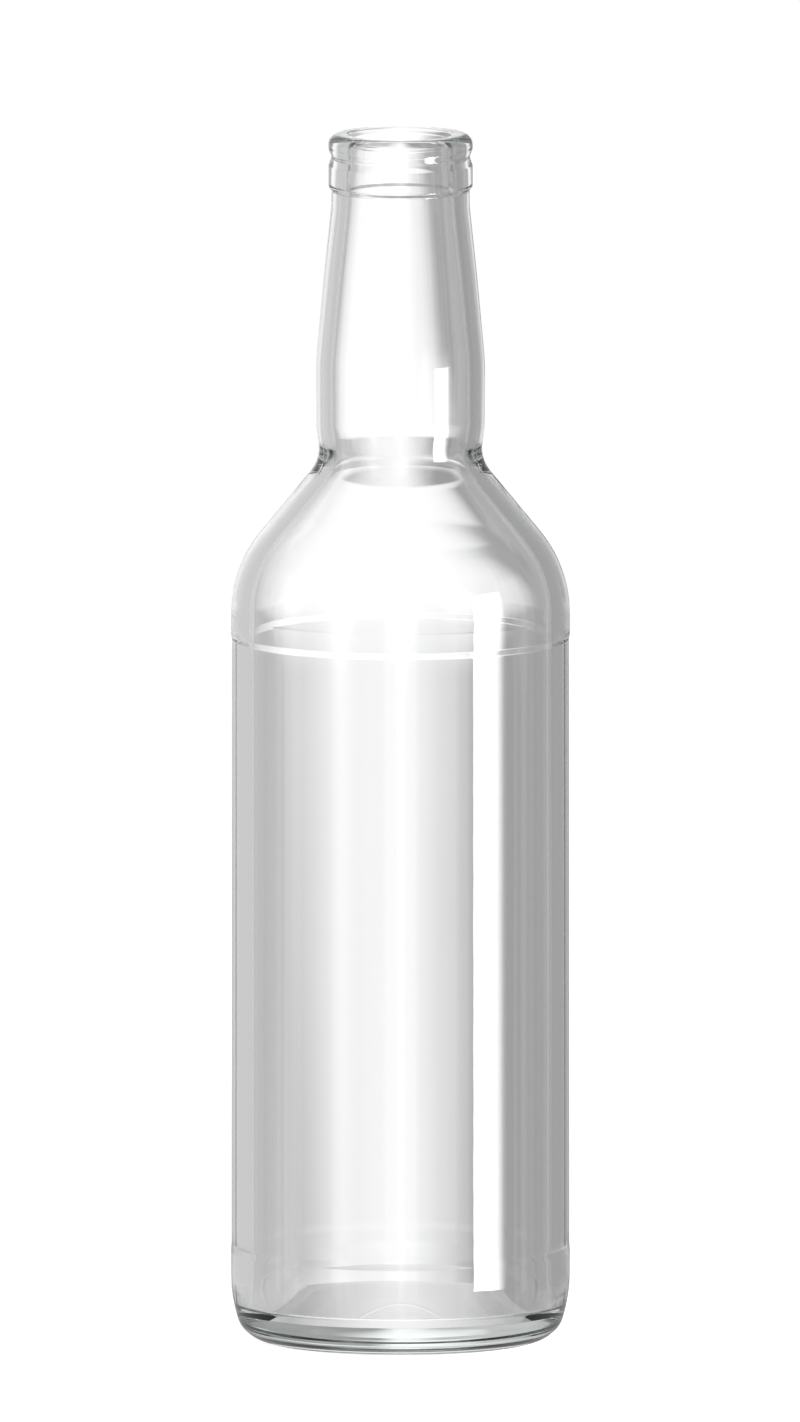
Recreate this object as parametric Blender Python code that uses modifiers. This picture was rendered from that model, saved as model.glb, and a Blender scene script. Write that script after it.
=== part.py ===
"""Clear glass spirits bottle, open and empty, in metres with +Z up.

The bottle is one turned solid. It stands on the origin, with its axis on Z. The
outline runs from the middle of the inner floor, up the inner wall, over the
mouth, down the outer wall and under the base to the middle of the push-up.
"""

import math

import bpy

# Driving dimensions in millimetres, radii from the axis and heights from the table
HEIGHT = 276.5
BODY_RADIUS = 38.6
PANEL_TOP_RADIUS = 38.3
PANEL_FOOT_RADIUS = 38.4
PANEL_TOP = 161.2
PANEL_FOOT = 21.2
BODY_BORE = 34.45

LIP_RADIUS = 16.4
GROOVE_RADIUS = 15.7
NECK_TOP_RADIUS = 15.7
NECK_SWELL_RADIUS = 19.24
COLLAR_TOP = 269.2
COLLAR_FOOT = 264.4
SHOULDER_ANGLE = 39.3
SHOULDER_START_RADIUS = 22.2
SHOULDER_START = 197.0

INNER_SHOULDER = 175.48
THROAT_RADIUS = 14.68
THROAT_HEIGHT = 199.63
NECK_FOOT_BORE = 15.97
NECK_FOOT_HEIGHT = 209.3
NECK_BORE = 16.04
NECK_BORE_HEIGHT = 224.0
MIDDLE_BORE = 14.05
MIDDLE_BORE_HEIGHT = 244.8
TOP_BORE = 12.4
TOP_BORE_HEIGHT = 259.6
MOUTH_RADIUS = 11.45

FLOOR_HEIGHT = 7.0
FLOOR_DISH = 0.3
FLOOR_RADIUS = 31.2
FLOOR_LIFT = 1.6
PUSH_UP = 1.7
PUSH_UP_EDGE = 25.0
BEARING_INNER = 29.0

TURN_STEPS = 56
ARC_TOLERANCE = 0.06
MM = 0.001


def shoulder_height(radius):
    """Height where the sloping shoulder line reaches this radius."""
    slope = math.tan(math.radians(SHOULDER_ANGLE))
    return SHOULDER_START - (radius - SHOULDER_START_RADIUS) / slope


def rounded(corners):
    """Turn (radius, height, rounding) corners into points, with an arc at each rounding."""
    points = []
    for index, (x, z, rounding) in enumerate(corners):
        if rounding == 0 or index in (0, len(corners) - 1):
            points.append((x, z))
            continue
        before = corners[index - 1]
        after = corners[index + 1]
        in_angle = math.atan2(z - before[1], x - before[0])
        out_angle = math.atan2(after[1] - z, after[0] - x)
        turn = (out_angle - in_angle + math.pi) % (2 * math.pi) - math.pi
        reach = rounding * math.tan(abs(turn) / 2)
        side = math.copysign(1.0, turn)
        start_x = x - reach * math.cos(in_angle)
        start_z = z - reach * math.sin(in_angle)
        centre_x = start_x - side * rounding * math.sin(in_angle)
        centre_z = start_z + side * rounding * math.cos(in_angle)
        finest = 2 * math.acos(1 - min(1.0, ARC_TOLERANCE / rounding))
        steps = max(1, math.ceil(abs(turn) / finest))
        for step in range(steps + 1):
            angle = in_angle + turn * step / steps
            points.append((
                centre_x + side * rounding * math.sin(angle),
                centre_z - side * rounding * math.cos(angle),
            ))
    return points


def dished(edge_radius, edge_height, middle_height, steps):
    """Points of a shallow cap, hollow or crowned, from the axis to its edge."""
    points = []
    for step in range(steps + 1):
        radius = edge_radius * step / steps
        rise = (edge_height - middle_height) * (radius / edge_radius) ** 2
        points.append((radius, middle_height + rise))
    return points


def inner_outline():
    """Inner floor, body cavity, shoulder, neck bore and the inner edge of the mouth."""
    floor = dished(FLOOR_RADIUS, FLOOR_HEIGHT, FLOOR_HEIGHT - FLOOR_DISH, 3)
    wall = rounded([
        (FLOOR_RADIUS, FLOOR_HEIGHT, 0),
        (BODY_BORE, FLOOR_HEIGHT + FLOOR_LIFT, 0.8),
        (BODY_BORE, INNER_SHOULDER, 25.85),
        (THROAT_RADIUS, THROAT_HEIGHT, 11.4),
        (NECK_FOOT_BORE, NECK_FOOT_HEIGHT, 14.0),
        (NECK_BORE, NECK_BORE_HEIGHT, 57.0),
        (MIDDLE_BORE, MIDDLE_BORE_HEIGHT, 83.0),
        (TOP_BORE, TOP_BORE_HEIGHT, 60.0),
        (MOUTH_RADIUS, HEIGHT, 1.0),
        (LIP_RADIUS - 2.4, HEIGHT, 0),
    ])
    return floor[:-1] + wall[:-1]


def outer_outline():
    """Lip, groove, collar, neck, shoulder, label panel, heel, bearing ring and push-up."""
    body = rounded([
        (LIP_RADIUS - 2.5, HEIGHT, 0),
        (LIP_RADIUS, HEIGHT, 2.4),
        (LIP_RADIUS, 272.9, 1.6),
        (GROOVE_RADIUS, 271.2, 1.4),
        (LIP_RADIUS, COLLAR_TOP, 1.4),
        (LIP_RADIUS, COLLAR_FOOT, 0.6),
        (NECK_TOP_RADIUS, COLLAR_FOOT - 0.9, 0.6),
        (NECK_TOP_RADIUS + 0.02, 259.8, 15.0),
        (17.3, 245.0, 80.0),
        (NECK_SWELL_RADIUS, 224.0, 60.0),
        (NECK_SWELL_RADIUS - 0.12, 209.2, 12.0),
        (18.2, shoulder_height(18.2), 8.0),
        (BODY_RADIUS, shoulder_height(BODY_RADIUS), 30.0),
        (BODY_RADIUS, PANEL_TOP + 0.7, 0.8),
        (PANEL_TOP_RADIUS, PANEL_TOP - 0.6, 0.8),
        (PANEL_FOOT_RADIUS, PANEL_FOOT + 0.9, 3.0),
        (BODY_RADIUS, PANEL_FOOT - 0.9, 3.0),
        (BODY_RADIUS, 10.4, 40.0),
        (BODY_RADIUS - 2.1, 3.1, 6.0),
        (BODY_RADIUS - 5.9, 0.0, 7.0),
        (BEARING_INNER, 0.0, 1.2),
        (BEARING_INNER - 2.5, PUSH_UP - 0.1, 3.0),
        (PUSH_UP_EDGE, PUSH_UP, 0),
    ])
    under = dished(PUSH_UP_EDGE, PUSH_UP, PUSH_UP + 0.1, 2)
    return body[1:-1] + under[::-1]


def glass_material():
    """Colourless flint glass."""
    material = bpy.data.materials.new("Flint glass")
    material.use_nodes = True
    shader = material.node_tree.nodes["Principled BSDF"]
    shader.inputs["Base Color"].default_value = (0.96, 0.98, 0.97, 1.0)
    shader.inputs["Roughness"].default_value = 0.03
    shader.inputs["Metallic"].default_value = 0.0
    shader.inputs["IOR"].default_value = 1.52
    shader.inputs["Transmission Weight"].default_value = 1.0
    return material


def turned_solid(name, outline, collection, material):
    """A closed outline from axis to axis, turned once round Z by a Screw modifier."""
    mesh = bpy.data.meshes.new(name)
    vertices = [(radius * MM, 0.0, height * MM) for radius, height in outline]
    edges = [(index, index + 1) for index in range(len(vertices) - 1)]
    mesh.from_pydata(vertices, edges, [])
    mesh.materials.append(material)
    turned = bpy.data.objects.new(name, mesh)
    collection.objects.link(turned)
    screw = turned.modifiers.new("Turn", "SCREW")
    screw.axis = "Z"
    screw.steps = TURN_STEPS
    screw.render_steps = TURN_STEPS
    screw.use_merge_vertices = True
    screw.merge_threshold = 0.00005
    screw.use_smooth_shade = True
    return turned


def main():
    for old in list(bpy.data.objects):
        bpy.data.objects.remove(old, do_unlink=True)
    collection = bpy.data.collections.new("Spirits bottle")
    bpy.context.scene.collection.children.link(collection)
    outline = inner_outline() + outer_outline()
    turned_solid("bottle", outline, collection, glass_material())


main()
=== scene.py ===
import math

import bmesh
import bpy
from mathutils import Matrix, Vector


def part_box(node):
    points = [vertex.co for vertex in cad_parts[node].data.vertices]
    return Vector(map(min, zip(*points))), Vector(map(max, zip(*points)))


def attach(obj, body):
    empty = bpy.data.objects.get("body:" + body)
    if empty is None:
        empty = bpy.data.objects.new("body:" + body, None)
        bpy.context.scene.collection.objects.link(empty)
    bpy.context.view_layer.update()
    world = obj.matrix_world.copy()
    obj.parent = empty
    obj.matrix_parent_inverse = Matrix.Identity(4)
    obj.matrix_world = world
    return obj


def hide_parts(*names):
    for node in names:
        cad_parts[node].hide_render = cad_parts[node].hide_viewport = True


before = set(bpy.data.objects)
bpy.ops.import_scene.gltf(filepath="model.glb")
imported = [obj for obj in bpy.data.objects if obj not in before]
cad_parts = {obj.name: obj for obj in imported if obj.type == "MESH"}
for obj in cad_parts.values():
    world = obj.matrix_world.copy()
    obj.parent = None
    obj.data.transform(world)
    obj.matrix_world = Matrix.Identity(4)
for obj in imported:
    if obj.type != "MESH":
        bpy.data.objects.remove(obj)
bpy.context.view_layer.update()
cadLow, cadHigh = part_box("bottle")
mm = 0.001


def linearColour(hexText):  # sRGB hex to the linear values that shaders take
    parts = [int(hexText[i:i + 2], 16) / 255 for i in (0, 2, 4)]
    return tuple(c / 12.92 if c <= 0.04045 else ((c + 0.055) / 1.055) ** 2.4 for c in parts) + (1.0,)


white = linearColour("ffffff")


def addNode(tree, kind, settings=None, inputs=None):  # an input is a value or another node's output
    node = tree.nodes.new(kind)
    for name, value in (settings or {}).items():
        setattr(node, name, value)
    for name, value in (inputs or {}).items():
        if isinstance(value, bpy.types.NodeSocket):
            tree.links.new(value, node.inputs[name])
        else:
            node.inputs[name].default_value = value
    return node.outputs


def newFinish(name):  # an empty material and the tree to build it in
    material = bpy.data.materials.new(name)
    material.use_nodes = True
    material.node_tree.nodes.clear()
    return material, material.node_tree


# the turned outline, in millimetres: radii from the axis and heights from the table. Three values
# together are a corner's radius, height and rounding
bottle = {
    "height": (cadHigh[2] - cadLow[2]) / mm,
    "bodyRadius": (cadHigh[0] - cadLow[0]) / 2 / mm,
    # lip, groove and collar
    "lipRadius": 16.4,
    "lipTopInset": 2.4,
    "lipRounding": 2.4,
    "lipFoot": 272.9,
    "lipFootRounding": 1.6,
    "groove": (15.7, 271.2, 1.4),
    "collarTop": 269.2,
    "collarTopRounding": 1.4,
    "collarFoot": 264.4,
    "collarFootRounding": 0.6,
    "collarStep": 0.9,
    # neck, pinched in above the shoulder
    "neckTopRadius": 15.7,
    "neckTop": (15.72, 259.8, 15.0),
    "neckMiddle": (17.3, 245.0, 80.0),
    "neckSwell": (19.24, 224.0, 60.0),
    "neckFoot": (19.12, 209.2, 12.0),
    "pinchRadius": 18.2,
    "pinchRounding": 8.0,
    # straight shoulder, through one point at one angle
    "shoulderAngle": 39.3,
    "shoulderStartRadius": 22.2,
    "shoulderStart": 197.0,
    "shoulderRounding": 30.0,
    # label panel, recessed between two bands
    "panelTop": 161.2,
    "panelTopRadius": 38.3,
    "panelTopRise": 0.7,
    "panelTopDrop": 0.6,
    "panelTopRounding": 0.8,
    "panelFoot": 21.2,
    "panelFootRadius": 38.4,
    "panelFootSlope": 0.9,
    "panelFootRounding": 3.0,
    # heel, bearing ring and push-up
    "heelTop": 10.4,
    "heelTopRounding": 40.0,
    "heelInset": 2.1,
    "heelHeight": 3.1,
    "heelRounding": 6.0,
    "standInset": 5.9,
    "standRounding": 7.0,
    "bearingInner": 29.0,
    "bearingRounding": 1.2,
    "pushUp": 1.7,
    "pushUpSlope": 2.5,
    "pushUpStep": 0.1,
    "pushUpRounding": 3.0,
    "pushUpEdge": 25.0,
    "pushUpCrown": 0.1,
    # inner floor and wall
    "floorHeight": 7.0,
    "floorDish": 0.3,
    "floorRadius": 31.2,
    "floorLift": 1.6,
    "floorRounding": 0.8,
    "bodyBore": 34.45,
    "innerShoulder": 175.48,
    "innerShoulderRounding": 25.85,
    "throat": (14.68, 199.63, 11.4),
    "neckFootBore": (15.97, 209.3, 14.0),
    "neckBore": (16.04, 224.0, 57.0),
    "middleBore": (14.05, 244.8, 83.0),
    "topBore": (12.4, 259.6, 60.0),
    "mouthRadius": 11.45,
    "mouthRounding": 1.0,
    # waves inside and mould seams outside
    "waveLength": 34.0,
    "waveDepth": 0.08,
    "waveStretch": 0.45,  # below 1 the waves are longer up the wall than round it
    "waveSeed": 3.0,
    "waveFade": 12.0,  # the waves fade out over this radius, so the floor stays closed at the axis
    "seamHeight": 0.05,
    "seamStart": 12.5,
    "seamInset": 0.15,  # no seam on the bands of full width, so it doesn't add to the size
    # how finely the mesh follows the outline
    "steps": 256,
    "arcTolerance": 0.006,
    "dishSteps": 12,
    "longestRow": 5.0,
    "holdFrom": 2.4,
    "holdRow": 0.12,
    "mergeDistance": 0.002,
}


def shoulderHeight(radius):  # where the sloping shoulder line reaches a radius
    slope = math.tan(math.radians(bottle["shoulderAngle"]))
    return bottle["shoulderStart"] - (radius - bottle["shoulderStartRadius"]) / slope


def rounded(corners):  # (radius, height, rounding) corners to points, an arc at each rounding
    points = []
    for index, (x, z, rounding) in enumerate(corners):
        if rounding == 0 or index in (0, len(corners) - 1):
            points.append((x, z))
            continue
        before, after = corners[index - 1], corners[index + 1]
        inAngle = math.atan2(z - before[1], x - before[0])
        outAngle = math.atan2(after[1] - z, after[0] - x)
        turn = (outAngle - inAngle + math.pi) % (2 * math.pi) - math.pi
        reach = rounding * math.tan(abs(turn) / 2)
        side = math.copysign(1.0, turn)
        startX = x - reach * math.cos(inAngle)
        startZ = z - reach * math.sin(inAngle)
        centreX = startX - side * rounding * math.sin(inAngle)
        centreZ = startZ + side * rounding * math.cos(inAngle)
        finest = 2 * math.acos(1 - min(1.0, bottle["arcTolerance"] / rounding))
        steps = max(2, math.ceil(abs(turn) / finest))
        for step in range(steps + 1):
            angle = inAngle + turn * step / steps
            points.append((centreX + side * rounding * math.sin(angle),
                           centreZ - side * rounding * math.cos(angle)))
    return points


def dished(edgeRadius, edgeHeight, middleHeight, steps):  # a shallow cap, hollow or crowned
    radii = [edgeRadius * step / steps for step in range(steps + 1)]
    rise = edgeHeight - middleHeight
    return [(radius, middleHeight + rise * (radius / edgeRadius) ** 2) for radius in radii]


def innerOutline():  # from the middle of the floor up the wall to the mouth
    b = bottle
    floor = dished(b["floorRadius"], b["floorHeight"], b["floorHeight"] - b["floorDish"], b["dishSteps"])
    wall = rounded([
        (b["floorRadius"], b["floorHeight"], 0),
        (b["bodyBore"], b["floorHeight"] + b["floorLift"], b["floorRounding"]),
        (b["bodyBore"], b["innerShoulder"], b["innerShoulderRounding"]),
        b["throat"],
        b["neckFootBore"],
        b["neckBore"],
        b["middleBore"],
        b["topBore"],
        (b["mouthRadius"], b["height"], b["mouthRounding"]),
        (b["lipRadius"] - b["lipTopInset"], b["height"], 0),
    ])
    return floor[:-1] + wall[:-1]


def outerOutline():  # from the mouth down the wall and under the base to its middle
    b = bottle
    body = rounded([
        (b["lipRadius"] - b["lipTopInset"], b["height"], 0),
        (b["lipRadius"], b["height"], b["lipRounding"]),
        (b["lipRadius"], b["lipFoot"], b["lipFootRounding"]),
        b["groove"],
        (b["lipRadius"], b["collarTop"], b["collarTopRounding"]),
        (b["lipRadius"], b["collarFoot"], b["collarFootRounding"]),
        (b["neckTopRadius"], b["collarFoot"] - b["collarStep"], b["collarFootRounding"]),
        b["neckTop"],
        b["neckMiddle"],
        b["neckSwell"],
        b["neckFoot"],
        (b["pinchRadius"], shoulderHeight(b["pinchRadius"]), b["pinchRounding"]),
        (b["bodyRadius"], shoulderHeight(b["bodyRadius"]), b["shoulderRounding"]),
        (b["bodyRadius"], b["panelTop"] + b["panelTopRise"], b["panelTopRounding"]),
        (b["panelTopRadius"], b["panelTop"] - b["panelTopDrop"], b["panelTopRounding"]),
        (b["panelFootRadius"], b["panelFoot"] + b["panelFootSlope"], b["panelFootRounding"]),
        (b["bodyRadius"], b["panelFoot"] - b["panelFootSlope"], b["panelFootRounding"]),
        (b["bodyRadius"], b["heelTop"], b["heelTopRounding"]),
        (b["bodyRadius"] - b["heelInset"], b["heelHeight"], b["heelRounding"]),
        (b["bodyRadius"] - b["standInset"], 0.0, b["standRounding"]),
        (b["bearingInner"], 0.0, b["bearingRounding"]),
        (b["bearingInner"] - b["pushUpSlope"], b["pushUp"] - b["pushUpStep"], b["pushUpRounding"]),
        (b["pushUpEdge"], b["pushUp"], 0),
    ])
    under = dished(b["pushUpEdge"], b["pushUp"], b["pushUp"] + b["pushUpCrown"], b["dishSteps"])
    return body[1:-1] + under[::-1]


def evened(points, longest):  # split long stretches for the faint waves, and hold their ends flat
    rows = [points[0]]
    for (x0, z0), (x1, z1) in zip(points[:-1], points[1:]):
        length = math.hypot(x1 - x0, z1 - z0)
        shares = [1.0]
        if length > bottle["holdFrom"]:
            count = math.ceil(length / longest)
            hold = bottle["holdRow"] / length
            shares = [hold] + [k / count for k in range(1, count)] + [1.0 - hold, 1.0]
        rows += [(x0 + (x1 - x0) * share, z0 + (z1 - z0) * share) for share in shares]
    return rows


# turns the outline round the axis into one closed shell of glass
def turningTree():
    tree = bpy.data.node_groups.new("turnedGlass", "GeometryNodeTree")
    face = tree.interface
    face.new_socket("Outline", in_out="INPUT", socket_type="NodeSocketGeometry")
    for name in ("Steps", "Rows", "Inner rows"):
        face.new_socket(name, in_out="INPUT", socket_type="NodeSocketInt")
    for name in ("Wave length", "Wave depth", "Wave stretch", "Wave fade", "Seed",
                 "Seam height", "Seam start", "Seam limit", "Merge distance"):
        face.new_socket(name, in_out="INPUT", socket_type="NodeSocketFloat")
    face.new_socket("Glass", in_out="INPUT", socket_type="NodeSocketMaterial")
    face.new_socket("Bottle", in_out="OUTPUT", socket_type="NodeSocketGeometry")
    given = addNode(tree, "NodeGroupInput")

    # a grid has one row for each point of the outline and one column for each step of the turn. It
    # is 1 across and centred, so half is added to count from its edge
    columns = addNode(tree, "ShaderNodeMath", {"operation": "ADD"}, {0: given["Steps"], 1: 1.0})[0]
    grid = addNode(tree, "GeometryNodeMeshGrid", None, {
        "Size X": 1.0, "Size Y": 1.0, "Vertices X": columns, "Vertices Y": given["Rows"]})
    place = addNode(tree, "GeometryNodeInputPosition")[0]
    axes = addNode(tree, "ShaderNodeSeparateXYZ", None, {0: place})
    across = addNode(tree, "ShaderNodeMath", {"operation": "ADD"}, {0: axes["X"], 1: 0.5})[0]
    along = addNode(tree, "ShaderNodeMath", {"operation": "ADD"}, {0: axes["Y"], 1: 0.5})[0]
    lastRow = addNode(tree, "ShaderNodeMath", {"operation": "SUBTRACT"}, {0: given["Rows"], 1: 1.0})[0]
    rowPlace = addNode(tree, "ShaderNodeMath", {"operation": "MULTIPLY"}, {0: along, 1: lastRow})[0]
    row = addNode(tree, "ShaderNodeMath", {"operation": "ROUND"}, {0: rowPlace})[0]
    columnPlace = addNode(tree, "ShaderNodeMath", {"operation": "MULTIPLY"}, {
        0: across, 1: given["Steps"]})[0]
    column = addNode(tree, "ShaderNodeMath", {"operation": "ROUND"}, {0: columnPlace})[0]
    sample = addNode(tree, "GeometryNodeSampleIndex", {"data_type": "FLOAT_VECTOR", "domain": "POINT"}, {
        "Geometry": given["Outline"], "Value": place, "Index": row})
    outline = addNode(tree, "ShaderNodeSeparateXYZ", None, {0: sample["Value"]})
    angle = addNode(tree, "ShaderNodeMath", {"operation": "MULTIPLY"}, {0: across, 1: 2 * math.pi})[0]
    cosine = addNode(tree, "ShaderNodeMath", {"operation": "COSINE"}, {0: angle})[0]
    sine = addNode(tree, "ShaderNodeMath", {"operation": "SINE"}, {0: angle})[0]

    # the inside cooled without a mould, so its wall is faintly uneven
    innerMask = addNode(tree, "ShaderNodeMath", {"operation": "LESS_THAN"}, {
        0: row, 1: given["Inner rows"]})[0]
    sampleX = addNode(tree, "ShaderNodeMath", {"operation": "MULTIPLY"}, {0: outline["X"], 1: cosine})[0]
    sampleY = addNode(tree, "ShaderNodeMath", {"operation": "MULTIPLY"}, {0: outline["X"], 1: sine})[0]
    stretched = addNode(tree, "ShaderNodeMath", {"operation": "MULTIPLY"}, {
        0: outline["Z"], 1: given["Wave stretch"]})[0]
    samplePoint = addNode(tree, "ShaderNodeCombineXYZ", None, {
        "X": sampleX, "Y": sampleY, "Z": stretched})[0]
    frequency = addNode(tree, "ShaderNodeMath", {"operation": "DIVIDE"}, {0: 1.0, 1: given["Wave length"]})[0]
    waves = addNode(tree, "ShaderNodeTexNoise", {"noise_dimensions": "4D"}, {
        "Vector": samplePoint, "W": given["Seed"], "Scale": frequency, "Detail": 1.0})
    centred = addNode(tree, "ShaderNodeMath", {"operation": "SUBTRACT"}, {0: waves[0], 1: 0.5})[0]
    depth = addNode(tree, "ShaderNodeMath", {"operation": "MULTIPLY"}, {
        0: centred, 1: given["Wave depth"]})[0]
    fade = addNode(tree, "ShaderNodeMapRange", {"interpolation_type": "SMOOTHSTEP"}, {
        "Value": outline["X"], "From Min": 0.0, "From Max": given["Wave fade"]})[0]
    masked = addNode(tree, "ShaderNodeMath", {"operation": "MULTIPLY"}, {0: depth, 1: innerMask})[0]
    wave = addNode(tree, "ShaderNodeMath", {"operation": "MULTIPLY"}, {0: masked, 1: fade})[0]

    # the two mould halves leave a fine ridge, outside only: at the first column and half way round
    halfSteps = addNode(tree, "ShaderNodeMath", {"operation": "DIVIDE"}, {0: given["Steps"], 1: 2.0})[0]
    fromSeam = addNode(tree, "ShaderNodeMath", {"operation": "MODULO"}, {0: column, 1: halfSteps})[0]
    onSeam = addNode(tree, "ShaderNodeMath", {"operation": "LESS_THAN"}, {0: fromSeam, 1: 0.5})[0]
    outside = addNode(tree, "ShaderNodeMath", {"operation": "SUBTRACT"}, {0: 1.0, 1: innerMask})[0]
    within = addNode(tree, "ShaderNodeMath", {"operation": "LESS_THAN"}, {
        0: outline["X"], 1: given["Seam limit"]})[0]
    beyond = addNode(tree, "ShaderNodeMath", {"operation": "GREATER_THAN"}, {
        0: outline["X"], 1: given["Seam start"]})[0]
    seam = addNode(tree, "ShaderNodeMath", {"operation": "MULTIPLY"}, {
        0: onSeam, 1: given["Seam height"]})[0]
    for mask in (outside, within, beyond):
        seam = addNode(tree, "ShaderNodeMath", {"operation": "MULTIPLY"}, {0: seam, 1: mask})[0]

    waved = addNode(tree, "ShaderNodeMath", {"operation": "ADD"}, {0: outline["X"], 1: wave})[0]
    radius = addNode(tree, "ShaderNodeMath", {"operation": "ADD"}, {0: waved, 1: seam})[0]
    turnedX = addNode(tree, "ShaderNodeMath", {"operation": "MULTIPLY"}, {0: radius, 1: cosine})[0]
    turnedY = addNode(tree, "ShaderNodeMath", {"operation": "MULTIPLY"}, {0: radius, 1: sine})[0]
    turned = addNode(tree, "ShaderNodeCombineXYZ", None, {
        "X": turnedX, "Y": turnedY, "Z": outline["Z"]})[0]
    moved = addNode(tree, "GeometryNodeSetPosition", None, {
        "Geometry": grid["Mesh"], "Position": turned})[0]
    merged = addNode(tree, "GeometryNodeMergeByDistance", None, {
        "Geometry": moved, "Distance": given["Merge distance"]})[0]
    smooth = addNode(tree, "GeometryNodeSetShadeSmooth", None, {"Geometry": merged})[0]
    real = addNode(tree, "GeometryNodeRealizeInstances", None, {"Geometry": smooth})[0]
    painted = addNode(tree, "GeometryNodeSetMaterial", None, {
        "Geometry": real, "Material": given["Glass"]})[0]
    addNode(tree, "NodeGroupOutput", None, {"Bottle": painted})
    return tree


glassFinish = {
    "tint": "c2d2cf",  # iron leaves a trace of blue green, seen only through thick glass
    "absorption": 4.5,  # per metre of glass
    "ior": 1.52,
    "rippleLength": 26.0,  # mm, faint swell of a blown wall
    "rippleDepth": 0.006,  # mm
    "grazeLength": 7.0,  # mm, patches of handling haze
    "grazeRoughness": 0.012,
    "grazeFrom": 0.5,  # the noise values where the haze starts and is full
    "grazeFull": 0.8,
}


# soda lime flint glass, blown in a mould and fire polished: clear and sharp in its gloss, with
# a slow swell in the wall that bends what shows through it
def flintGlass():
    material, tree = newFinish("flint glass, fire polished")
    place = addNode(tree, "ShaderNodeTexCoord")["Object"]
    swell = addNode(tree, "ShaderNodeTexNoise", None, {
        "Vector": place, "Scale": 1 / (glassFinish["rippleLength"] * mm), "Detail": 1.0})[0]
    bump = addNode(tree, "ShaderNodeBump", None, {
        "Strength": 1.0, "Distance": glassFinish["rippleDepth"] * mm, "Height": swell})[0]
    haze = addNode(tree, "ShaderNodeTexNoise", None, {
        "Vector": place, "Scale": 1 / (glassFinish["grazeLength"] * mm), "Detail": 3.0})[0]
    roughness = addNode(tree, "ShaderNodeMapRange", {"interpolation_type": "SMOOTHSTEP"}, {
        "Value": haze, "From Min": glassFinish["grazeFrom"], "From Max": glassFinish["grazeFull"],
        "To Min": 0.0, "To Max": glassFinish["grazeRoughness"]})[0]
    shader = addNode(tree, "ShaderNodeBsdfPrincipled", None, {
        "Base Color": white, "Transmission Weight": 1.0, "IOR": glassFinish["ior"],
        "Roughness": roughness, "Normal": bump})[0]
    tint = addNode(tree, "ShaderNodeVolumeAbsorption", None, {
        "Color": linearColour(glassFinish["tint"]), "Density": glassFinish["absorption"]})[0]
    addNode(tree, "ShaderNodeOutputMaterial", None, {"Surface": shader, "Volume": tint})
    return material


def makeBottle():
    inside = evened(innerOutline(), bottle["longestRow"])
    outside = evened(inside[-1:] + outerOutline(), bottle["longestRow"])[1:]
    rows = inside + outside
    points = [(x * mm, 0.0, z * mm) for x, z in rows]
    mesh = bpy.data.meshes.new("outline")
    mesh.from_pydata(points, [(i, i + 1) for i in range(len(rows) - 1)], [])
    source = bpy.data.objects.new("outline", mesh)
    bpy.context.scene.collection.objects.link(source)
    glass = flintGlass()
    tree = turningTree()
    modifier = source.modifiers.new("turned", "NODES")
    modifier.node_group = tree
    values = {
        "Steps": bottle["steps"],
        "Rows": len(rows),
        "Inner rows": len(inside),
        "Wave length": bottle["waveLength"] * mm,
        "Wave depth": bottle["waveDepth"] * mm,
        "Wave stretch": bottle["waveStretch"],
        "Wave fade": bottle["waveFade"] * mm,
        "Seed": bottle["waveSeed"],
        "Seam height": bottle["seamHeight"] * mm,
        "Seam start": bottle["seamStart"] * mm,
        "Seam limit": (bottle["bodyRadius"] - bottle["seamInset"]) * mm,
        "Merge distance": bottle["mergeDistance"] * mm,
        "Glass": glass,
    }
    for item in tree.interface.items_tree:
        if item.item_type == "SOCKET" and item.in_out == "INPUT" and item.name in values:
            modifier[item.identifier] = values[item.name]
    # the tree's result is kept as a plain mesh, and the modifier goes with its source
    evaluated = source.evaluated_get(bpy.context.evaluated_depsgraph_get())
    turnedMesh = bpy.data.meshes.new_from_object(evaluated)
    piece = bpy.data.objects.new("glassBottle", turnedMesh)
    bpy.context.scene.collection.objects.link(piece)
    bpy.data.objects.remove(source)
    bm = bmesh.new()
    bm.from_mesh(turnedMesh)
    bmesh.ops.recalc_face_normals(bm, faces=bm.faces)
    bm.to_mesh(turnedMesh)
    openEdges = sum(not edge.is_manifold for edge in bm.edges)
    millilitres = bm.calc_volume() * 1e6  # from cubic metres
    print("rows", len(rows), "faces", len(bm.faces), "open edges", openEdges)
    print("glass ml", round(millilitres, 1))
    bm.free()
    return piece


glassBottle = makeBottle()
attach(glassBottle, "root")
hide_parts("bottle")
print("bottle made")

# the frame's size and the places of the bottle's axis and foot in it, in pixels from its upper left.
# The camera is a parallel one, so its distance doesn't show
view = {
    "elevation": 7.3,
    "frameWidth": 800,
    "frameHeight": 1422,
    "axisPixel": 400.4,
    "footPixel": 1338.2,
    "bodyPixels": 169.55,  # the body's radius
    "distance": 2.0,
}


def makeCamera():
    pixel = bottle["bodyRadius"] * mm / view["bodyPixels"]
    tilt = math.radians(view["elevation"])
    aimHeight = (view["footPixel"] - view["frameHeight"] / 2) * pixel / math.cos(tilt)
    aim = Vector(((view["frameWidth"] / 2 - view["axisPixel"]) * pixel, 0.0, aimHeight))
    data = bpy.data.cameras.new("camera")
    data.type = "ORTHO"
    data.ortho_scale = view["frameHeight"] * pixel
    camera = bpy.data.objects.new("camera", data)
    camera.location = aim + Vector((0.0, -math.cos(tilt), math.sin(tilt))) * view["distance"]
    camera.rotation_euler = (math.pi / 2 - tilt, 0.0, 0.0)
    bpy.context.scene.collection.objects.link(camera)
    bpy.context.scene.camera = camera


makeCamera()
print("camera made")

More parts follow.
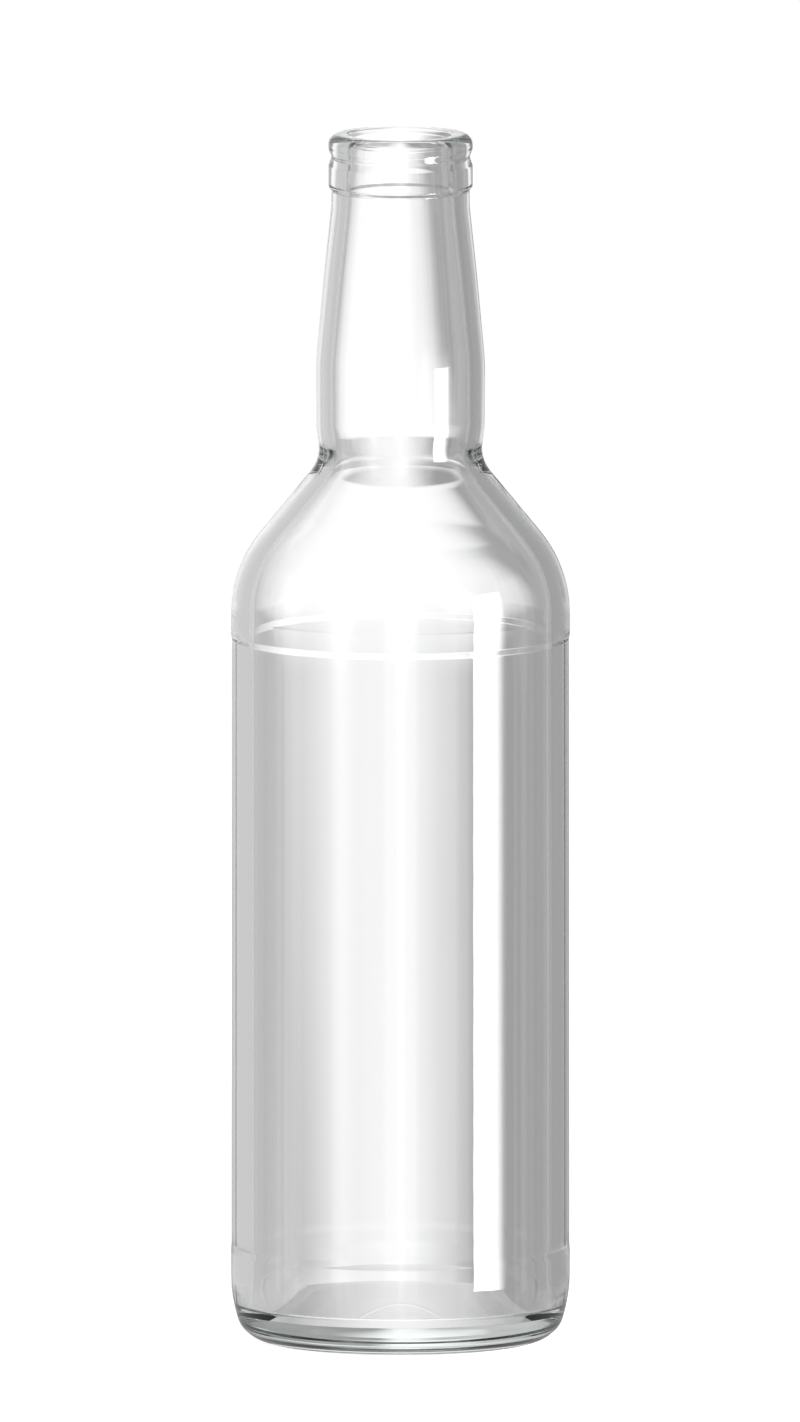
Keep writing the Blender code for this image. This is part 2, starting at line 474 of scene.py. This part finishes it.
# heights, widths and distances in metres, angles in degrees, strengths in the renderer's own unit.
# Two values together are where a soft change starts and ends
studio = {
    "bounces": 40,
    # grey room: its back wall, ceiling and side flags
    "leftLevel": 0.60,
    "rightLevel": 0.36,
    "backTurn": (-8.0, 6.0),
    "ceilingShare": 0.12,
    "ceilingRise": (30.0, 46.0),
    "sideLevel": 0.12,
    "flagTurn": (56.0, 68.0),
    # dark ground beside the bottle, lighter farther round
    "darkLevel": 0.04,
    "groundTurn": (22.0, 32.0),
    "groundRise": (-16.0, -25.0),
    "groundLevel": 0.5,
    "groundEnd": (36.0, 54.0),
    # lit table, low down behind the bottle
    "behindTurn": (34.0, 46.0),
    "behindRise": (-26.0, -34.0),
    "behindLevel": 1.0,
    # glowing panels
    "panelTurns": (0, 90, 135, 180, 225, 270),
    "panelDistance": 0.6,
    "panelHalfWidth": 0.29,
    "panelLow": -0.4,
    "panelHigh": 0.5,
    "panelPeak": 1.08,
    "sidePanelShare": 0.5,
    "sideFade": 0.07,
    "endFade": 0.1,
    # the panels' bright column: its half widths at the left and right, and the heights they change over
    "leftFall": (-2.0, -0.2),  # in widths from the axis
    "rightFall": (0.0, 2.6),
    "leftFoot": 0.040,
    "leftWidth": 0.055,
    "leftWide": 0.165,
    "rightWidth": 0.022,
    "rightWide": 0.075,
    "rightTop": 0.034,
    "widen": (-0.05, 0.065),
    "spread": (0.074, 0.104),
    "close": (0.115, 0.165),
    "upperPeak": 1.22,
    # paper sweep, and the glowing table top that only the glass sees
    "paperReach": 3.0,
    "paperColour": "f4f4f2",
    "paperGlow": 0.88,
    "tableRadius": 0.1,
    "tablePoints": 96,
    "tableDrop": 0.0002,
    "tableLevel": 0.96,
    "tableEdge": 0.46,
    "tableGlow": 0.032,
    # strip softbox
    "stripTurn": 57.1,
    "stripDistance": 0.151,
    "stripWidth": 0.064,
    "stripLow": -0.005,
    "stripHigh": 0.2206,
    "stripLevel": 16.0,
    "stripFeather": 0.6,  # the share of its width where it starts to fade
}


# a flat piece of the studio, kept off the object
def stagePiece(name, corners, faces, material, uvs=None):
    mesh = bpy.data.meshes.new(name)
    mesh.from_pydata(corners, [], faces)
    if uvs:
        layer = mesh.uv_layers.new(name="sheet")
        for loop, uv in zip(layer.data, uvs):
            loop.uv = uv
    mesh.materials.append(material)
    piece = bpy.data.objects.new(name, mesh)
    bpy.context.scene.collection.objects.link(piece)
    return piece


def uprightCorners(half, low, high):  # of an upright sheet, as places across it and heights
    return ((-half, low), (half, low), (half, high), (-half, high))


# what is round the bottle, by its turn from straight behind and its height in the sky
def makeWorld():
    scene = bpy.context.scene
    scene.view_settings.view_transform = "Standard"
    scene.cycles.max_bounces = studio["bounces"]
    scene.cycles.transmission_bounces = studio["bounces"]
    scene.cycles.glossy_bounces = studio["bounces"]
    world = bpy.data.worlds.new("studio")
    scene.world = world
    world.use_nodes = True
    tree = world.node_tree
    tree.nodes.clear()
    direction = addNode(tree, "ShaderNodeTexCoord")["Generated"]
    axes = addNode(tree, "ShaderNodeSeparateXYZ", None, {0: direction})
    turn = addNode(tree, "ShaderNodeMath", {"operation": "ARCTAN2"}, {0: axes["X"], 1: axes["Y"]})[0]
    rise = addNode(tree, "ShaderNodeMath", {"operation": "ARCSINE"}, {0: axes["Z"]})[0]
    azimuth = addNode(tree, "ShaderNodeMath", {"operation": "DEGREES"}, {0: turn})[0]
    elevation = addNode(tree, "ShaderNodeMath", {"operation": "DEGREES"}, {0: rise})[0]
    away = addNode(tree, "ShaderNodeMath", {"operation": "ABSOLUTE"}, {0: azimuth})[0]
    back = addNode(tree, "ShaderNodeMapRange", {"interpolation_type": "SMOOTHSTEP"}, {
        "Value": azimuth, "From Min": studio["backTurn"][0], "From Max": studio["backTurn"][1],
        "To Min": studio["leftLevel"], "To Max": studio["rightLevel"]})[0]
    above = addNode(tree, "ShaderNodeMapRange", {"interpolation_type": "SMOOTHSTEP"}, {
        "Value": elevation, "From Min": studio["ceilingRise"][0], "From Max": studio["ceilingRise"][1],
        "To Min": 1.0, "To Max": studio["ceilingShare"]})[0]
    wall = addNode(tree, "ShaderNodeMath", {"operation": "MULTIPLY"}, {0: back, 1: above})[0]
    # dark flags at the sides and dark ground give thick glass its dark edges. A float mix has its two
    # values at inputs 2 and 3
    toFlag = addNode(tree, "ShaderNodeMapRange", {"interpolation_type": "SMOOTHSTEP"}, {
        "Value": away, "From Min": studio["flagTurn"][0], "From Max": studio["flagTurn"][1]})[0]
    room = addNode(tree, "ShaderNodeMix", {"data_type": "FLOAT"}, {
        "Factor": toFlag, 2: wall, 3: studio["sideLevel"]})[0]
    aside = addNode(tree, "ShaderNodeMapRange", {"interpolation_type": "SMOOTHSTEP"}, {
        "Value": away, "From Min": studio["groundTurn"][0], "From Max": studio["groundTurn"][1]})[0]
    below = addNode(tree, "ShaderNodeMapRange", {"interpolation_type": "SMOOTHSTEP"}, {
        "Value": elevation, "From Min": studio["groundRise"][0], "From Max": studio["groundRise"][1]})[0]
    groundShade = addNode(tree, "ShaderNodeMapRange", {"interpolation_type": "SMOOTHSTEP"}, {
        "Value": away, "From Min": studio["groundEnd"][0], "From Max": studio["groundEnd"][1],
        "To Min": studio["darkLevel"], "To Max": studio["groundLevel"]})[0]
    ground = addNode(tree, "ShaderNodeMath", {"operation": "MULTIPLY"}, {0: aside, 1: below})[0]
    dark = addNode(tree, "ShaderNodeMix", {"data_type": "FLOAT"}, {
        "Factor": ground, 2: room, 3: groundShade})[0]
    # the lit table behind the bottle, which the front of the lip bends up to the camera
    ahead = addNode(tree, "ShaderNodeMapRange", {"interpolation_type": "SMOOTHSTEP"}, {
        "Value": away, "From Min": studio["behindTurn"][0], "From Max": studio["behindTurn"][1],
        "To Min": 1.0, "To Max": 0.0})[0]
    deep = addNode(tree, "ShaderNodeMapRange", {"interpolation_type": "SMOOTHSTEP"}, {
        "Value": elevation, "From Min": studio["behindRise"][0], "From Max": studio["behindRise"][1]})[0]
    lit = addNode(tree, "ShaderNodeMath", {"operation": "MULTIPLY"}, {0: ahead, 1: deep})[0]
    level = addNode(tree, "ShaderNodeMix", {"data_type": "FLOAT"}, {
        "Factor": lit, 2: dark, 3: studio["behindLevel"]})[0]
    # seen directly, it is plain white
    cameraRay = addNode(tree, "ShaderNodeLightPath")["Is Camera Ray"]
    strength = addNode(tree, "ShaderNodeMath", {"operation": "MAXIMUM"}, {0: level, 1: cameraRay})[0]
    light = addNode(tree, "ShaderNodeBackground", None, {"Color": white, "Strength": strength})[0]
    addNode(tree, "ShaderNodeOutputWorld", None, {"Surface": light})


# opal acrylic light panels, lit unevenly from behind: a bright column that widens above the bottle's body
def panelMaterial():
    material, tree = newFinish("opal acrylic, lit from behind")
    sheet = addNode(tree, "ShaderNodeUVMap", {"uv_map": "sheet"})[0]
    axes = addNode(tree, "ShaderNodeSeparateXYZ", None, {0: sheet})
    leftBody = addNode(tree, "ShaderNodeMapRange", None, {
        "Value": axes["Y"], "From Min": studio["widen"][0], "From Max": studio["widen"][1],
        "To Min": studio["leftFoot"], "To Max": studio["leftWidth"]})[0]
    leftWidth = addNode(tree, "ShaderNodeMapRange", {"interpolation_type": "SMOOTHSTEP"}, {
        "Value": axes["Y"], "From Min": studio["spread"][0], "From Max": studio["spread"][1],
        "To Min": leftBody, "To Max": studio["leftWide"]})[0]
    rightSpread = addNode(tree, "ShaderNodeMapRange", {"interpolation_type": "SMOOTHSTEP"}, {
        "Value": axes["Y"], "From Min": studio["spread"][0], "From Max": studio["spread"][1],
        "To Min": studio["rightWidth"], "To Max": studio["rightWide"]})[0]
    rightWidth = addNode(tree, "ShaderNodeMapRange", {"interpolation_type": "SMOOTHSTEP"}, {
        "Value": axes["Y"], "From Min": studio["close"][0], "From Max": studio["close"][1],
        "To Min": rightSpread, "To Max": studio["rightTop"]})[0]
    peak = addNode(tree, "ShaderNodeMapRange", {"interpolation_type": "SMOOTHSTEP"}, {
        "Value": axes["Y"], "From Min": studio["spread"][0], "From Max": studio["spread"][1],
        "To Min": studio["panelPeak"], "To Max": studio["upperPeak"]})[0]
    leftPlace = addNode(tree, "ShaderNodeMath", {"operation": "DIVIDE"}, {0: axes["X"], 1: leftWidth})[0]
    rightPlace = addNode(tree, "ShaderNodeMath", {"operation": "DIVIDE"}, {0: axes["X"], 1: rightWidth})[0]
    left = addNode(tree, "ShaderNodeMapRange", {"interpolation_type": "SMOOTHSTEP"}, {
        "Value": leftPlace, "From Min": studio["leftFall"][0], "From Max": studio["leftFall"][1],
        "To Min": studio["leftLevel"], "To Max": peak})[0]
    right = addNode(tree, "ShaderNodeMapRange", {"interpolation_type": "SMOOTHSTEP"}, {
        "Value": rightPlace, "From Min": studio["rightFall"][0], "From Max": studio["rightFall"][1],
        "To Min": 1.0, "To Max": studio["rightLevel"] / studio["panelPeak"]})[0]
    level = addNode(tree, "ShaderNodeMath", {"operation": "MULTIPLY"}, {0: left, 1: right})[0]
    reach = addNode(tree, "ShaderNodeMath", {"operation": "ABSOLUTE"}, {0: axes["X"]})[0]
    sideFade = addNode(tree, "ShaderNodeMapRange", {"interpolation_type": "SMOOTHSTEP"}, {
        "Value": reach, "From Min": studio["panelHalfWidth"] - studio["sideFade"],
        "From Max": studio["panelHalfWidth"], "To Min": 1.0, "To Max": 0.0})[0]
    lowFade = addNode(tree, "ShaderNodeMapRange", {"interpolation_type": "SMOOTHSTEP"}, {
        "Value": axes["Y"], "From Min": studio["panelLow"],
        "From Max": studio["panelLow"] + studio["endFade"]})[0]
    highFade = addNode(tree, "ShaderNodeMapRange", {"interpolation_type": "SMOOTHSTEP"}, {
        "Value": axes["Y"], "From Min": studio["panelHigh"] - studio["endFade"],
        "From Max": studio["panelHigh"], "To Min": 1.0, "To Max": 0.0})[0]
    ends = addNode(tree, "ShaderNodeMath", {"operation": "MULTIPLY"}, {0: lowFade, 1: highFade})[0]
    window = addNode(tree, "ShaderNodeMath", {"operation": "MULTIPLY"}, {0: ends, 1: sideFade})[0]
    clear = addNode(tree, "ShaderNodeBsdfTransparent")[0]
    glow = addNode(tree, "ShaderNodeEmission", None, {"Color": white, "Strength": level})[0]
    shown = addNode(tree, "ShaderNodeMixShader", None, {0: window, 1: clear, 2: glow})[0]
    addNode(tree, "ShaderNodeOutputMaterial", None, {"Surface": shown})
    return material


def makePanels():
    half, low, high = studio["panelHalfWidth"], studio["panelLow"], studio["panelHigh"]
    corners = []
    faces = []
    uvs = []
    for index, degrees in enumerate(studio["panelTurns"]):  # the first and widest stands behind the bottle
        turn = math.radians(degrees)
        share = 1.0 if index == 0 else studio["sidePanelShare"]
        for across, up in uprightCorners(half, low, high):
            corners.append((across * share * math.cos(turn) + studio["panelDistance"] * math.sin(turn),
                            -across * share * math.sin(turn) + studio["panelDistance"] * math.cos(turn), up))
            uvs.append((across, up))
        faces.append(tuple(range(4 * index, 4 * index + 4)))
    panels = stagePiece("glowPanels", corners, faces, panelMaterial(), uvs)
    panels.visible_camera = False
    panels.visible_shadow = False


# a strip softbox to the right of the camera, its far edge feathered
def makeStrip():
    material, tree = newFinish("softbox cloth, lit from behind")
    sheet = addNode(tree, "ShaderNodeUVMap", {"uv_map": "sheet"})[0]
    axes = addNode(tree, "ShaderNodeSeparateXYZ", None, {0: sheet})
    feather = addNode(tree, "ShaderNodeMapRange", {"interpolation_type": "SMOOTHSTEP"}, {
        "Value": axes["X"], "From Min": studio["stripFeather"], "From Max": 1.0,
        "To Min": studio["stripLevel"], "To Max": 0.0})[0]
    glow = addNode(tree, "ShaderNodeEmission", None, {"Color": white, "Strength": feather})[0]
    addNode(tree, "ShaderNodeOutputMaterial", None, {"Surface": glow})
    turn = math.radians(studio["stripTurn"])
    half = studio["stripWidth"] / 2
    low, high = studio["stripLow"], studio["stripHigh"]
    corners = []
    for across, up in uprightCorners(half, low, high):
        corners.append((studio["stripDistance"] * math.sin(turn) + across * math.cos(turn),
                        -studio["stripDistance"] * math.cos(turn) + across * math.sin(turn), up))
    strip = stagePiece("stripSoftbox", corners, [(0, 1, 2, 3)], material, [(0, 0), (1, 0), (1, 1), (0, 1)])
    strip.visible_camera = False
    strip.visible_transmission = False
    strip.visible_shadow = False


# matt white paper, lit past white so that only the shade under the bottle shows
def makeFloor():
    material, tree = newFinish("white paper sweep")
    paper = addNode(tree, "ShaderNodeBsdfDiffuse", None, {"Color": linearColour(studio["paperColour"])})[0]
    glow = addNode(tree, "ShaderNodeEmission", None, {"Color": white, "Strength": studio["paperGlow"]})[0]
    both = addNode(tree, "ShaderNodeAddShader", None, {0: paper, 1: glow})[0]
    addNode(tree, "ShaderNodeOutputMaterial", None, {"Surface": both})
    reach = studio["paperReach"]
    corners = [(-reach, -reach, 0.0), (reach, -reach, 0.0), (reach, reach, 0.0), (-reach, reach, 0.0)]
    floor = stagePiece("floor", corners, [(0, 1, 2, 3)], material)
    floor.visible_transmission = False
    floor.visible_glossy = False


# opal acrylic table top: it glows most along the middle, and only the glass sees it
def makeTable():
    material, tree = newFinish("white acrylic, lit from below")
    place = addNode(tree, "ShaderNodeTexCoord")["Object"]
    axes = addNode(tree, "ShaderNodeSeparateXYZ", None, {0: place})
    aside = addNode(tree, "ShaderNodeMath", {"operation": "ABSOLUTE"}, {0: axes["X"]})[0]
    level = addNode(tree, "ShaderNodeMapRange", {"interpolation_type": "SMOOTHSTEP"}, {
        "Value": aside, "From Min": 0.0, "From Max": studio["tableGlow"],
        "To Min": studio["tableLevel"], "To Max": studio["tableEdge"]})[0]
    glow = addNode(tree, "ShaderNodeEmission", None, {"Color": white, "Strength": level})[0]
    addNode(tree, "ShaderNodeOutputMaterial", None, {"Surface": glow})
    count = studio["tablePoints"]
    rim = []
    for index in range(count):
        turn = math.tau * index / count
        rim.append((studio["tableRadius"] * math.cos(turn), studio["tableRadius"] * math.sin(turn),
                    -studio["tableDrop"]))
    table = stagePiece("litTable", rim, [tuple(range(count))], material)
    table.visible_camera = False
    table.visible_shadow = False


makeWorld()
makePanels()
makeStrip()
makeFloor()
makeTable()
print("studio made")
